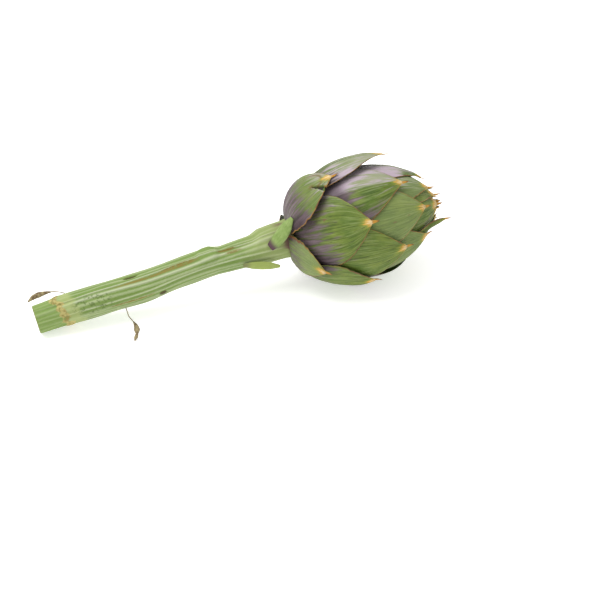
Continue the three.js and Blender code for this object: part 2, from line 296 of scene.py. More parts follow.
class Nodes:
    """Builds a material's node tree. A value given to a socket is a number, a colour or a socket."""

    def __init__(self, name):
        self.material = bpy.data.materials.new(name)
        self.material.use_nodes = True
        self.tree = self.material.node_tree
        self.shader = self.tree.nodes["Principled BSDF"]

    def plug(self, socket, value):
        if isinstance(value, bpy.types.NodeSocket):
            self.tree.links.new(value, socket)
        else:
            socket.default_value = value

    def add(self, kind, inputs=(), output=0, **settings):
        node = self.tree.nodes.new("ShaderNode" + kind)
        for key, value in settings.items():
            setattr(node, key, value)
        for key, value in dict(inputs).items():
            self.plug(node.inputs[key], value)
        return node.outputs[output]

    def field(self, name, output="Fac"):
        return self.add("Attribute", attribute_name=name, output=output)

    def math(self, operation, a, b):
        return self.add("Math", {0: a, 1: b}, operation=operation)

    def ramp(self, value, low, high, start=0.0, end=1.0):
        inputs = {"Value": value, "From Min": low, "From Max": high, "To Min": start, "To Max": end}
        return self.add("MapRange", inputs, interpolation_type="SMOOTHSTEP")

    def mix(self, amount, first, second):
        # A colour mix takes its two colours at sockets 6 and 7, and gives its own at output 2.
        return self.add("Mix", {0: amount, 6: first, 7: second}, 2, data_type="RGBA")

    def noise(self, place, scale, detail=3.0, rough=0.5, stretch=(1, 1, 1)):
        placed = self.add("Mapping", {"Vector": place, "Scale": stretch})
        inputs = {"Vector": placed, "Scale": scale, "Detail": detail, "Roughness": rough}
        return self.add("TexNoise", inputs)

    def bump(self, height, strength, distance, normal=None):
        inputs = {"Height": height, "Strength": strength, "Distance": distance}
        if normal:
            inputs["Normal"] = normal
        return self.add("Bump", inputs)

    def finish(self, **inputs):
        for key, value in inputs.items():
            self.plug(self.shader.inputs[key.replace("_", " ")], value)
        return self.material


def colour(red, green, blue):
    return (red, green, blue, 1)


# --- Materials -------------------------------------------------------------------------------

DEEP_GREEN = colour(0.07, 0.125, 0.012)
FRESH_GREEN = colour(0.16, 0.21, 0.03)
STREAK_GREEN = colour(0.23, 0.28, 0.085)
DARK_FIBRE = colour(0.03, 0.055, 0.004)
PALE_FIBRE = colour(0.26, 0.31, 0.12)
SCRATCH = colour(0.022, 0.03, 0.006)
RED_SPECK = colour(0.12, 0.04, 0.012)
TAN_SPECK = colour(0.17, 0.10, 0.03)
GREY_GREEN = colour(0.25, 0.305, 0.125)
DARK_PURPLE = colour(0.055, 0.035, 0.040)
LIGHT_PURPLE = colour(0.16, 0.115, 0.128)
# Painted sheen: pale colours laid on what faces up, a painted highlight of the light from above.
PAINTED_GREEN_SHEEN = colour(0.25, 0.28, 0.14)
PAINTED_LAVENDER_SHEEN = colour(0.46, 0.36, 0.44)
PAINTED_FIBRE_SHEEN = colour(0.38, 0.35, 0.35)
# Painted shade, low on a bract's flanks near its base.
DARK_PAINTED_SHADE = colour(0.016, 0.010, 0.010)
LIGHT_PAINTED_SHADE = colour(0.05, 0.028, 0.036)
BRUISE = colour(0.13, 0.085, 0.015)
# Painted shade in the gap of the crack.
PAINTED_CRACK_SHADE = colour(0.012, 0.009, 0.005)
INNER_FACE = colour(0.07, 0.125, 0.016)
DARK_MARGIN = colour(0.15, 0.06, 0.02)
RUSTY_MARGIN = colour(0.34, 0.18, 0.04)
TIP_YELLOW = colour(0.27, 0.30, 0.04)
TIP_ORANGE = colour(0.55, 0.33, 0.06)
TIP_CREAM = colour(0.72, 0.55, 0.28)
SPINE_ORANGE = colour(0.52, 0.25, 0.03)
SPINE_BROWN = colour(0.25, 0.10, 0.025)

STEM_GREEN = colour(0.155, 0.24, 0.05)
STEM_PALE = colour(0.24, 0.315, 0.105)
STEM_FIBRE = colour(0.115, 0.18, 0.025)
STEM_FELT = colour(0.33, 0.385, 0.22)
STEM_GROOVE = colour(0.12, 0.20, 0.025)
STEM_RIDGE = colour(0.46, 0.50, 0.33)
STEM_PEELED = colour(0.20, 0.30, 0.07)
STEM_COLLAR = colour(0.35, 0.40, 0.15)
SCAR_BROWN = colour(0.24, 0.18, 0.04)
SCAR_TAN = colour(0.44, 0.37, 0.13)
STREAK_BROWN = colour(0.20, 0.165, 0.03)
SLOT_BROWN = colour(0.075, 0.06, 0.015)
MOTTLE_GREEN = colour(0.075, 0.12, 0.02)
NECK_GREEN = colour(0.34, 0.38, 0.15)
NECK_BLUSH = colour(0.13, 0.06, 0.05)
PITH_DARK = colour(0.22, 0.27, 0.09)
PITH_LIGHT = colour(0.42, 0.44, 0.24)
RIND = colour(0.26, 0.33, 0.09)

LEAF_GREEN = colour(0.17, 0.26, 0.055)
LEAF_PALE = colour(0.23, 0.32, 0.09)
LEAF_FIBRE = colour(0.12, 0.18, 0.03)
LEAF_YELLOW = colour(0.30, 0.35, 0.06)
LEAF_VIOLET = colour(0.07, 0.03, 0.04)
DRY_DARK = colour(0.12, 0.075, 0.035)
DRY_LIGHT = colour(0.33, 0.27, 0.14)

WHITE = colour(1, 1, 1)
FLOOR_GREY = colour(0.9, 0.9, 0.9)


def bract_material():
    n = Nodes("bract")
    grain = n.field("grain", "Vector")
    blotch = n.noise(grain, 0.09, 4, 0.6, (1, 0.6, 1))
    fibre = n.noise(grain, 1.1, 3, 0.65, (1, 0.05, 1))
    streak = n.noise(grain, 0.45, 3, 0.6, (1, 0.12, 1))
    skin = green_skin(n, grain, blotch, fibre, streak)
    skin = n.mix(n.field("pale"), skin, GREY_GREEN)
    skin = violet_sheen_and_shade(n, skin, blotch, fibre, streak)
    skin = n.mix(n.field("bruise"), skin, n.mix(0.8, skin, BRUISE))
    # The crack's near-black colour is painted shade in its gap.
    skin = n.mix(n.field("crack"), skin, PAINTED_CRACK_SHADE)
    skin = margin_and_tip(n, skin, blotch, streak)
    skin = n.mix(n.field("inside"), skin, INNER_FACE)
    shape = n.bump(fibre, 0.7, 0.0004)
    shape = n.bump(streak, 0.6, 0.0008, shape)
    rough = n.ramp(streak, 0.3, 0.7, 0.5, 0.65)
    return n.finish(Base_Color=skin, Roughness=rough, Normal=shape, Specular_IOR_Level=0.3)


def violet_sheen_and_shade(n, skin, blotch, fibre, streak):
    """Purple towards the base, partly the bract's own colour and partly painted shade; a painted pale sheen,
    that is a painted highlight, on what faces up; and painted dark shade low on the flanks.
    """
    # The purple is partly the bract's own colour and partly painted shade near the base and on the flanks,
    # where neighbours cover it.
    violet = n.math("ADD", n.field("violet"), n.ramp(streak, 0.3, 0.7, -0.25, 0.25))
    violet = n.math("ADD", violet, n.ramp(blotch, 0.3, 0.7, -0.15, 0.15))
    purple = n.mix(n.ramp(streak, 0.35, 0.65), DARK_PURPLE, LIGHT_PURPLE)
    skin = n.mix(n.ramp(violet, 0.2, 0.85), skin, purple)
    # Painted highlight: what faces up, and the upper side of one bract, get a pale painted sheen.
    upward = n.add("SeparateXYZ", {0: n.add("NewGeometry", output="Normal")}, output=2)
    facing = n.math("ADD", upward, n.ramp(streak, 0.3, 0.7, -0.05, 0.05))
    painted_sheen = n.mix(n.ramp(violet, 0.05, 0.5), PAINTED_GREEN_SHEEN, PAINTED_LAVENDER_SHEEN)
    painted_sheen = n.mix(n.ramp(fibre, 0.4, 0.62, 0, 0.5), painted_sheen, PAINTED_FIBRE_SHEEN)
    painted_sheen_band = n.math("ADD", n.field("painted_sheen_band"), n.ramp(streak, 0.3, 0.7, -0.3, 0.1))
    amount = n.math("MAXIMUM", n.ramp(facing, 0.84, 0.98, 0, 0.9), n.ramp(painted_sheen_band, 0.2, 0.8, 0, 0.85))
    skin = n.mix(amount, skin, painted_sheen)
    # Painted shade: darker low on the flanks near the base.
    painted_shade = n.mix(n.ramp(streak, 0.35, 0.65), DARK_PAINTED_SHADE, LIGHT_PAINTED_SHADE)
    return n.mix(n.field("painted_shade"), skin, painted_shade)


def green_skin(n, grain, blotch, fibre, streak):
    """The green of a bract, with fibres, scratches and a few rusty specks."""
    skin = n.mix(n.ramp(blotch, 0.3, 0.7), DEEP_GREEN, FRESH_GREEN)
    skin = n.mix(n.ramp(streak, 0.5, 0.75, 0, 0.6), skin, STREAK_GREEN)
    skin = n.mix(n.ramp(fibre, 0.5, 0.62, 0, 0.6), skin, DARK_FIBRE)
    skin = n.mix(n.ramp(fibre, 0.46, 0.34, 0, 0.4), skin, PALE_FIBRE)
    scratch = n.noise(grain, 0.8, 2, 0.5, (1, 0.16, 1))
    scratch = n.math("MULTIPLY", n.ramp(scratch, 0.62, 0.68), n.ramp(blotch, 0.46, 0.58))
    skin = n.mix(n.math("MULTIPLY", scratch, 0.65), skin, SCRATCH)
    speck = n.noise(grain, 0.42, 2, 0.5, (1, 0.45, 1))
    rusty = n.mix(n.ramp(blotch, 0.4, 0.6), RED_SPECK, TAN_SPECK)
    return n.mix(n.ramp(speck, 0.70, 0.76, 0, 0.8), skin, rusty)


def margin_and_tip(n, skin, blotch, streak):
    """The bract's thin orange-brown margin, the pale patch at its tip and its orange spine."""
    margin = n.math("ADD", n.field("edge"), n.ramp(blotch, 0.3, 0.7, -0.4, 0.35))
    rust = n.mix(n.ramp(blotch, 0.4, 0.6), DARK_MARGIN, RUSTY_MARGIN)
    skin = n.mix(n.ramp(margin, 0.9, 0.3), skin, rust)
    patch = n.math("ADD", n.field("tip"), n.ramp(streak, 0.3, 0.7, -1.2, 1.2))
    back = n.field("back")
    skin = n.mix(n.ramp(patch, 6.5, 3.0, 0, 0.6), skin, TIP_YELLOW)
    skin = n.mix(n.ramp(patch, 3.9, 2.6), skin, TIP_ORANGE)
    skin = n.mix(n.ramp(patch, 2.6, 1.0), skin, TIP_CREAM)
    skin = n.mix(n.ramp(back, 0.3, -1.0), skin, SPINE_ORANGE)
    return n.mix(n.ramp(back, -2.4, -4.2), skin, SPINE_BROWN)


def stem_material():
    n = Nodes("stem")
    grain = n.field("grain", "Vector")
    fibre = n.noise(grain, 0.9, 4, 0.65, (1, 1, 0.03))
    felt = n.noise(grain, 1.9, 4, 0.75, (1, 1, 0.4))
    skin = stem_skin(n, grain, fibre, felt)
    skin = stem_marks_colour(n, grain, skin)
    skin = n.mix(n.math("MULTIPLY", n.field("neck"), 0.5), skin, NECK_GREEN)
    skin = n.mix(n.field("blush"), skin, NECK_BLUSH)
    skin = n.mix(n.field("cut"), skin, pith_colour(n, grain))
    shape = n.bump(felt, 0.6, 0.0003)
    shape = n.bump(fibre, 0.6, 0.0005, shape)
    return n.finish(Base_Color=skin, Roughness=0.8, Normal=shape)


def stem_skin(n, grain, fibre, felt):
    """The stem's felted green, pale on the ridges and dark between them."""
    cloud = n.noise(grain, 0.16, 4, 0.6, (1, 1, 0.3))
    skin = n.mix(n.ramp(cloud, 0.3, 0.7), STEM_GREEN, STEM_PALE)
    skin = n.mix(n.ramp(fibre, 0.44, 0.32, 0, 0.75), skin, STEM_FIBRE)
    skin = n.mix(n.ramp(felt, 0.45, 0.7, 0, 0.55), skin, STEM_FELT)
    skin = n.mix(n.ramp(n.field("ridge"), 0.10, 0.0, 0, 0.65), skin, STEM_GROOVE)
    skin = n.mix(n.math("MULTIPLY", n.field("ridge"), 0.9), skin, STEM_RIDGE)
    skin = n.mix(n.math("MULTIPLY", n.field("peeled"), 0.4), skin, STEM_PEELED)
    return n.mix(n.math("MULTIPLY", n.field("pale"), 0.7), skin, STEM_COLLAR)


def stem_marks_colour(n, grain, skin):
    """The leaf scar near the cut, the brown streaks and spots, and a mottled patch."""
    lump = n.noise(grain, 0.5, 3, 0.6)
    scar = n.math("ADD", n.field("scar"), n.ramp(lump, 0.35, 0.65, -0.4, 0.25))
    tan = n.mix(n.ramp(lump, 0.4, 0.6), SCAR_BROWN, SCAR_TAN)
    skin = n.mix(n.ramp(scar, 0.4, 0.7, 0, 0.9), skin, tan)
    brown = n.math("MULTIPLY", n.field("brown"), n.ramp(lump, 0.36, 0.5, 0.4, 1))
    skin = n.mix(brown, skin, STREAK_BROWN)
    skin = n.mix(n.field("dark"), skin, SLOT_BROWN)
    mottle = n.math("MULTIPLY", n.field("mottle"), n.ramp(lump, 0.52, 0.6, 0, 0.7))
    return n.mix(mottle, skin, MOTTLE_GREEN)


def pith_colour(n, grain):
    """The cut face: pale pith with darker spots, inside a green rind."""
    spots = n.add("TexVoronoi", {"Vector": grain, "Scale": 0.75})
    axis = n.add("CombineXYZ", {0: 1.0, 1: 1.0, 2: 0.0})
    flat = n.add("VectorMath", {0: grain, 1: axis}, operation="MULTIPLY")
    radius = n.add("VectorMath", {0: flat}, output=1, operation="LENGTH")
    pith = n.mix(n.ramp(spots, 0.1, 0.5), PITH_DARK, PITH_LIGHT)
    return n.mix(n.ramp(radius, 6.0, 8.6), pith, RIND)


def leaf_material():
    n = Nodes("leaf")
    grain = n.field("grain", "Vector")
    cloud = n.noise(grain, 0.25, 3, 0.6)
    fibre = n.noise(grain, 1.6, 3, 0.6, (1, 0.08, 1))
    skin = n.mix(n.ramp(cloud, 0.35, 0.65), LEAF_GREEN, LEAF_PALE)
    skin = n.mix(n.ramp(fibre, 0.5, 0.65, 0, 0.5), skin, LEAF_FIBRE)
    skin = n.mix(n.field("yellow"), skin, LEAF_YELLOW)
    skin = n.mix(n.field("violet"), skin, LEAF_VIOLET)
    return n.finish(Base_Color=skin, Roughness=0.6, Normal=n.bump(fibre, 0.6, 0.0004))


def dry_material():
    n = Nodes("dried_leaf")
    cloud = n.noise(n.field("grain", "Vector"), 0.6, 4, 0.6)
    skin = n.mix(n.ramp(cloud, 0.35, 0.65), DRY_DARK, DRY_LIGHT)
    return n.finish(Base_Color=skin, Roughness=0.85, Normal=n.bump(cloud, 0.6, 0.0004))


# --- The head --------------------------------------------------------------------------------


def make_meridian():
    sine = -math.sqrt(1 - (NECK_RADIUS / HEAD_RADIUS) ** (2 / SHOULDER_POWER))
    angle = np.linspace(math.pi / 2, math.asin(sine), 2001)
    power = np.where(angle < 0, SHOULDER_POWER, CROWN_POWER)
    radius = HEAD_RADIUS * np.maximum(np.cos(angle), 0) ** power
    height = HEAD_HALF_LENGTH * (np.sin(angle) - sine)
    steps = np.hypot(np.diff(radius), np.diff(height))
    distance = np.concatenate([[0], np.cumsum(steps)])
    return distance, radius, height, np.gradient(radius, distance), np.gradient(height, distance)


MERIDIAN = make_meridian()
MERIDIAN_LENGTH = MERIDIAN[0][-1]


def bract_azimuth(index):
    return math.radians(index * GOLDEN_ANGLE + IRREGULAR.get(index, (0, 0))[0])


def tip_distance(index):
    return TIP_DISTANCE * math.exp(-index / TIP_DECAY) + IRREGULAR.get(index, (0, 0))[1]


def local_scale(distance):
    return (distance / LAYER_DISTANCE) ** LAYER_POWER


def layer(index, distance, lift):
    """(radius, height) of points of a bract's layer, and the outward direction there."""
    distance = np.clip(distance, 1e-3, MERIDIAN_LENGTH)
    radius, height, by_radius, by_height = (np.interp(distance, MERIDIAN[0], m) for m in MERIDIAN[1:])
    out = np.stack([-by_height, by_radius], -1)
    outermost = -TIP_DECAY * np.log(distance / TIP_DISTANCE)
    depth = LAYER_STEP * local_scale(distance) * np.maximum(index - outermost, -2)
    return np.stack([radius, height], -1) + out * (lift - depth)[..., None], out


def around_head(point, azimuth):
    """From (radius, height) in the head to a point of the frame."""
    radius, height = point[..., :1], point[..., 1:]
    azimuth = np.asarray(azimuth)[..., None]
    rise = CROWN_RISE * np.clip(height / HEAD_HALF_LENGTH - 1, 0, 1) ** 2
    return NECK + TOP * (radius * np.cos(azimuth) + rise) + SIDE * radius * np.sin(azimuth) + AXIS * height


def receptacle_radius(height):
    part = np.clip(height / RECEPTACLE_HEIGHT, 0, 1)
    return STEM_RADII[-1] + (RECEPTACLE_RADIUS - STEM_RADII[-1]) * part


def base_distance(index):
    """How far from the apex a bract's layer comes down to the receptacle."""
    near, far = tip_distance(index), MERIDIAN_LENGTH
    for _ in range(30):
        middle = (near + far) / 2
        point, _ = layer(index, np.array(middle), np.array(-BRACT_THICKNESS))
        if point[0] > receptacle_radius(point[1]) + GAP:
            near = middle
        else:
            far = middle
    return near


def tip_lift(index):
    if index in LIFTED_TIPS:
        return LIFTED_TIPS[index]
    free = smoothstep(math.cos(bract_azimuth(index)), SHUT_COSINE, FREE_COSINE)
    usual = USUAL_LIFT + LIFT_SPREAD * math.sin(LIFT_PHASE * index)
    return free * usual * local_scale(tip_distance(index))


def violet_tint(index):
    """How purple a bract is, from 0 to 1."""
    return PURPLE.get(index, 0.4 + 0.25 * math.sin(3.7 * index))


def crescent(side, back):
    """The bruised curve near the tip of the cracked bract."""
    ring = np.hypot(side - BRUISE_CENTRE[0], back - BRUISE_CENTRE[1])
    return np.exp(-(((ring - BRUISE_RADIUS) / BRUISE_WIDTH) ** 2)) * smoothstep(back, 15, 9)


def crack(side, back):
    """How far a point is inside the crack, and how near its inner end, both from 0 to 1."""
    start, end = np.array(CRACK_START), np.array(CRACK_END)
    length = np.linalg.norm(end - start)
    ahead = (end - start) / length
    along = ((side - start[0]) * ahead[0] + (back - start[1]) * ahead[1]) / length
    apart = np.abs((side - start[0]) * ahead[1] - (back - start[1]) * ahead[0])
    open_width = CRACK_WIDTH * np.clip(1 - along, 0, 1) + 0.3
    inside = smoothstep(apart, open_width, 0.6 * open_width) * (along > -0.3) * (along < 1)
    near_end = np.exp(-((np.hypot(side - end[0], back - end[1]) / 1.6) ** 2))
    return inside, near_end


def worn_width(index, back, across, wide):
    """The half width where the edge is ragged."""
    worn = RAGGED.get(index, USUAL_RAGGED) * np.abs(ripple(back / 2.2, np.sign(across) * 3, 300 + index))
    wide = wide * (1 - worn)
    if index == CRACKED_BRACT:
        wide = wide - 2 * np.exp(-(((back - CRACK_START[1]) / 0.7) ** 2)) * (across > 0.5)
    return wide


def section_columns(outer_columns, inner_columns):
    """Where a bract's columns lie across it, from -1 to 1, and their face: 1 outside, -1 inside."""
    outer = 1 - 2 * np.linspace(0, 1, outer_columns + 1)[:-1]
    inner = 2 * np.linspace(0, 1, inner_columns + 1)[:-1] - 1
    face = np.concatenate([np.ones(outer_columns), -np.ones(inner_columns)])
    return np.concatenate([outer, inner]), face


class Bract:
    """The shape of one bract. back is the distance from its tip, and across is -1 to 1 over its width."""

    def __init__(self, index):
        self.index = index
        self.tip = tip_distance(index)
        self.length = base_distance(index) - self.tip
        self.azimuth = bract_azimuth(index)
        self.lift = tip_lift(index)
        self.spine_length = min(SPINE_LENGTH, SHORTEST_SPINE + SPINE_GROWTH * self.tip)

    def middle(self, back):
        """(radius, height) of the bract's middle line, and the outward direction there."""
        stand = self.lift * np.clip(1 - back / (LIFT_REACH * self.tip), 0, 1) ** 2
        opened = np.clip(1 - back / (OPEN_REACH * self.tip), 0, 1)
        stand = stand + OPEN_BLADES.get(self.index, 0) * opened
        stand = stand + BELLIES.get(self.index, 0) * np.sin(math.pi * back / self.length)
        return layer(self.index, self.tip + back, stand)

    def half_width(self, back, radius):
        broadest = min(BRACT_HALF_WIDTH, WIDEST_PART * self.length)
        rest = 1 - np.clip(back / (WIDEST_PART * self.length), 0, 1)
        blade = SPINE_RADIUS + broadest * (1 - rest ** OUTLINE_POWER)
        wrap = SLENDER_HALF_ANGLES.get(self.index, BRACT_HALF_ANGLE) * radius
        return (blade ** -6.0 + wrap ** -6.0) ** (-1 / 6)

    def blade_offset(self, back, across, face, side, split):
        """How far the blade's faces stand off its middle layer."""
        thick = np.sqrt(1 - np.abs(across) ** 6) * (0.45 + 0.55 * (1 - across ** 2))
        half = local_scale(self.tip + back) * BRACT_THICKNESS / 2
        relief = WAVE_HEIGHT * ripple(side / 5, back / 14, 100 + self.index)
        relief += FIBRE_HEIGHT * ripple(across * BRACT_HALF_WIDTH / 1.3, back / 40, 200 + self.index)
        keel = KEEL_HEIGHT * np.exp(-((side / 1.6) ** 2)) * smoothstep(back, 16, 2)
        crease = 1 - np.sqrt(across ** 2 + 0.003)
        fold = MIDRIB_FOLDS.get(self.index, 0) * crease * smoothstep(back, 0, 8)
        raised = np.where(face > 0, relief + keel + fold, fold) * (1 - across ** 4)
        return face * thick * half + raised - face * 0.4 * split - 0.9 * split

    def blade(self, back, across, face):
        """The blade's points, its half width, the crack and the crack's inner end."""
        centre, out = self.middle(back)
        wide = worn_width(self.index, back, across, self.half_width(back, centre[..., 0]))
        side = across * wide
        cracked = self.index == CRACKED_BRACT
        split, split_end = crack(side, back) if cracked else (0 * back, 0 * back)
        offset = self.blade_offset(back, across, face, side, split)
        turned = self.azimuth + math.radians(BASE_TURNS.get(self.index, 0)) * back / self.length
        points = around_head(centre + out * offset[..., None], turned + side / centre[..., 0])
        return points, wide, split, split_end

    def spine(self, part, across, face):
        """The spine's points and half width. It carries on from the blade and leans outwards."""
        tip_point, _ = self.middle(np.array(0.0))
        behind, _ = self.middle(np.array(2.0))
        ahead = (tip_point - behind) / np.linalg.norm(tip_point - behind)
        ahead = ahead + np.array([0, APEX_SWEEP * smoothstep(self.tip, 30, 5)])
        ahead /= np.linalg.norm(ahead)
        outward = np.array([ahead[1], -ahead[0]])
        lean = (SPINE_LEAN * part ** 2)[..., None] * outward
        line = tip_point + self.spine_length * (part[..., None] * ahead + lean)
        taper = SPINE_RADIUS * (1 - part) ** 0.6
        flat = np.sqrt(1 - across ** 2) * (1 - part) ** 0.7
        rise = face * flat * local_scale(self.tip) * BRACT_THICKNESS / 2
        points = around_head(line + outward * rise[..., None], self.azimuth + across * taper / line[..., 0])
        return points, taper

    def fields(self, back, across, face, wide):
        """What the material reads at each point."""
        index = self.index
        side = across * wide
        tint = violet_tint(index)
        base = smoothstep(back, 0.25 * self.length, 0.7 * self.length)
        flank = smoothstep(np.abs(across), 0.45, 0.95) * smoothstep(back, 12, 28)
        # low and shade say where painted shade goes: low on the flanks near the base, and over the base of
        # one bract.
        low = flank * smoothstep(back, 0.35 * self.length, 0.65 * self.length)
        shade = 0.75 * smoothstep(back, 33, 43) if index == SHEEN_AND_SHADE_BRACT else 0
        # Purple towards the base and on the flanks: partly the bract's own colour, partly painted shade
        # where neighbours cover it.
        violet = (0.75 * base + 0.45 * flank) * (0.5 + tint) + 0.5 * (tint - 0.35)
        margin = (1 - np.abs(across)) * wide / SCORCH.get(index, 1)
        patch = np.hypot(0.65 * np.maximum(back, 0), 1.3 * side)
        none = np.zeros(back.shape)
        return {
            "grain": np.stack([across * (12 + 0.6 * wide), back, none + 37.0 * index], -1),
            "back": back,
            "edge": np.where(back > 0, margin, 9),
            "tip": patch + (3 if index == GREEN_TIPPED_BRACT else 0),
            "violet": np.clip(violet, 0, 1),
            # Painted shade.
            "painted_shade": np.clip(low + shade, 0, 1),
            "pale": none + PALENESS.get(index, 0.0),
            # A painted sheen on the upper side of one bract.
            "painted_sheen_band": smoothstep(-side, -1.5, 1.5) if index == SHEEN_AND_SHADE_BRACT else none,
            "bruise": none.copy(),
            "crack": none.copy(),
            "inside": np.broadcast_to(face < 0, back.shape),
        }


def bract_rings(index, rows, outer_columns, inner_columns):
    """The points of one bract, blade and spine, and its fields."""
    bract = Bract(index)
    across, face = section_columns(outer_columns, inner_columns)
    back = bract.length * (1 - np.linspace(0, 1, rows)) ** 1.25
    back, blade_across = np.meshgrid(back, across, indexing="ij")
    part, spine_across = np.meshgrid(np.linspace(0, 1, SPINE_ROWS + 1)[1:], across, indexing="ij")
    blade, wide, split, split_end = bract.blade(back, blade_across, face)
    spine, taper = bract.spine(part, spine_across, face)
    back = np.concatenate([back, -part * bract.spine_length])
    across = np.concatenate([blade_across, spine_across])
    wide = np.concatenate([wide, taper])
    fields = bract.fields(back, across, face, wide)
    if index == CRACKED_BRACT:
        fields["bruise"][:rows] = np.maximum(crescent(across * wide, back)[:rows], split_end)
        fields["crack"][:rows] = split
    return np.concatenate([blade, spine]), fields


def add_bracts(material):
    for index in range(FIRST_BRACT, LAST_BRACT + 1):
        node = "bract_%02d" % (index - FIRST_BRACT + 1)
        rings, fields = bract_rings(index, 90, 56, 24)
        add_piece(make_mesh(node + "_leaf", rings, fields, material), node)


def add_bud(material):
    """The youngest bracts and the heart they are folded round, as one piece."""
    meshes = []
    for index in range(LAST_BRACT + 1, LAST_BUD_BRACT + 1):
        rings, fields = bract_rings(index, 50, 24, 12)
        meshes.append(make_mesh("bud_leaf", rings, fields, material))
    # The heart has only a grain. Its other fields are 0, as at a bract's pale tip.
    route = [NECK + AXIS * height for height in HEART_HEIGHTS]
    rings, fields = shred_rings(route, TOP, HEART_SECTIONS)
    meshes.append(make_mesh("bud_heart", rings, {"grain": fields["grain"]}, material))
    add_piece(joined("inner_bud_leaves", meshes), "inner_bud")


def joined(name, meshes):
    """One mesh of all the meshes."""
    parts = [add_object(name, mesh) for mesh in meshes]
    with bpy.context.temp_override(active_object=parts[0], selected_editable_objects=parts,
                                   selected_objects=parts, object=parts[0]):
        bpy.ops.object.join()
    mesh = parts[0].data
    bpy.data.objects.remove(parts[0])
    mesh.name = name
    return mesh


# --- The stem --------------------------------------------------------------------------------


def smooth_route(points, count):
    """Evenly spaced points on a smooth curve through the given points, their unit tangents and how far
    along the curve each one is."""
    points = np.array(points, float)
    knots = np.concatenate([[0], np.cumsum(np.linalg.norm(np.diff(points, axis=0), axis=1))])
    slopes = np.gradient(points, knots, axis=0)
    fine = np.linspace(0, knots[-1], 40 * len(points))
    low = np.clip(np.searchsorted(knots, fine, "right") - 1, 0, len(knots) - 2)
    gap = (knots[low + 1] - knots[low])[:, None]
    t = (fine[:, None] - knots[low][:, None]) / gap
    start = (2 * t ** 3 - 3 * t ** 2 + 1) * points[low] + (t ** 3 - 2 * t ** 2 + t) * gap * slopes[low]
    end = (3 * t ** 2 - 2 * t ** 3) * points[low + 1] + (t ** 3 - t ** 2) * gap * slopes[low + 1]
    curve = start + end
    travel = np.concatenate([[0], np.cumsum(np.linalg.norm(np.diff(curve, axis=0), axis=1))])
    even = np.linspace(0, travel[-1], count)
    route = np.stack([np.interp(even, travel, curve[:, k]) for k in range(3)], -1)
    tangent = np.gradient(route, even, axis=0)
    return route, tangent / np.linalg.norm(tangent, axis=1)[:, None], even


def square_to(direction, tangent):
    """Unit vectors square to each tangent: one towards the direction, and one to its side."""
    out = direction - (tangent @ direction)[:, None] * tangent
    out /= np.linalg.norm(out, axis=1)[:, None]
    return out, np.cross(tangent, out)


def around_turn(columns):
    """The angles round a tube, from its underside over its top."""
    return math.pi - 2 * math.pi * np.arange(columns) / columns


def stem_ridges(azimuth, along):
    """The stem's ridges, from 0 between them to 1 on the highest."""
    draw = np.random.default_rng(5)
    ridge = np.zeros(azimuth.shape)
    for k in range(RIDGES):
        place = 2 * math.pi * (k + draw.uniform(-0.25, 0.25)) / RIDGES
        wander = 0.06 * np.sin(along / draw.uniform(14, 30) + draw.uniform(0, 6))
        width = draw.uniform(0.04, 0.085)
        height = draw.uniform(0.35, 1.0)
        gap = np.angle(np.exp(1j * (azimuth - place - wander)))
        ridge = np.maximum(ridge, height * np.exp(-((gap / width) ** 2)))
    return ridge


def spot(azimuth, along, mark):
    """A soft-edged spot on the stem: 1 in its middle, 0 outside."""
    place, turn, half_length, half_width = mark
    gap = np.angle(np.exp(1j * (azimuth - math.radians(turn)))) * STEM_RADII[2]
    return smoothstep(np.hypot((along - place) / half_length, gap / half_width), 1.25, 0.75)


def stem_radius(along, neck):
    radius = np.interp(along, np.linspace(0, neck, len(STEM_RADII)), STEM_RADII)
    radius = np.where(along > neck, receptacle_radius(along - neck), radius)
    dome = np.clip((along - neck - RECEPTACLE_HEIGHT) / RECEPTACLE_DOME, 0, 1)
    return radius * np.sqrt(1 - dome ** 2)


def tear_line(azimuth, along):
    """How far from the cut the rind was torn away, round the stem."""
    slant = 4.5 * smoothstep(np.degrees(azimuth), 0, 130)
    return TEAR_PLACE + slant + 1.1 * ripple(azimuth * 3, along / 60, 11)


def stem_relief(azimuth, along, tear):
    """How far the stem's skin stands off its plain radius, before it fades out at the neck."""
    wobble = ripple(azimuth * 2.5, along / 9, 3)
    relief = 0.6 * stem_ridges(azimuth, along) - 0.3 + 0.2 * wobble
    relief += 1.1 * spot(azimuth, along, LIP) - 1.9 * spot(azimuth, along, HOLLOW)
    relief -= 0.9 * spot(azimuth, along, SLOT) + 0.7 * spot(azimuth, along, NICK)
    relief += 0.3 * torn_scar(along, tear)
    return relief - 0.35 * smoothstep(tear - along, 0, 2)


def torn_scar(along, tear):
    return smoothstep(np.abs(along - tear), 4.2, 0.8)


def stem_fields(azimuth, along, radius, neck, tear):
    """What the stem's material reads at each point."""
    ridge = stem_ridges(azimuth, along) * neck_fade(along, neck)
    rim = smoothstep(along, 0.9, 0.0)
    brown = sum(spot(azimuth, along, streak) for streak in STREAKS)
    brown = brown + 0.8 * spot(azimuth, along, BROWN_SPOT) + 0.7 * rim
    dark = spot(azimuth, along, SLOT) + spot(azimuth, along, NICK)
    blotches = smoothstep(ripple(azimuth * 3, along / 12, 9), -0.4, 0.7)
    return {
        "grain": np.stack([radius * np.cos(azimuth), radius * np.sin(azimuth), along], -1),
        "ridge": ridge * (0.3 + 0.7 * smoothstep(along, tear - 2, tear + 3)),
        "peeled": smoothstep(tear - along, -1, 1),
        "pale": smoothstep(np.abs(along - tear - 6), 6, 2),
        "scar": torn_scar(along, tear),
        "brown": np.clip(brown, 0, 1),
        "dark": np.clip(dark, 0, 1),
        "neck": smoothstep(along, neck - 38, neck - 8),
        "blush": smoothstep(along, neck - 9, neck + 1) * blotches,
        "mottle": spot(azimuth, along, MOTTLE),
        "cut": np.zeros(along.shape),
    }


def neck_fade(along, neck):
    """1 on the stem, and 0 on the receptacle, which is smooth."""
    return smoothstep(along, neck + 2, neck - 14)


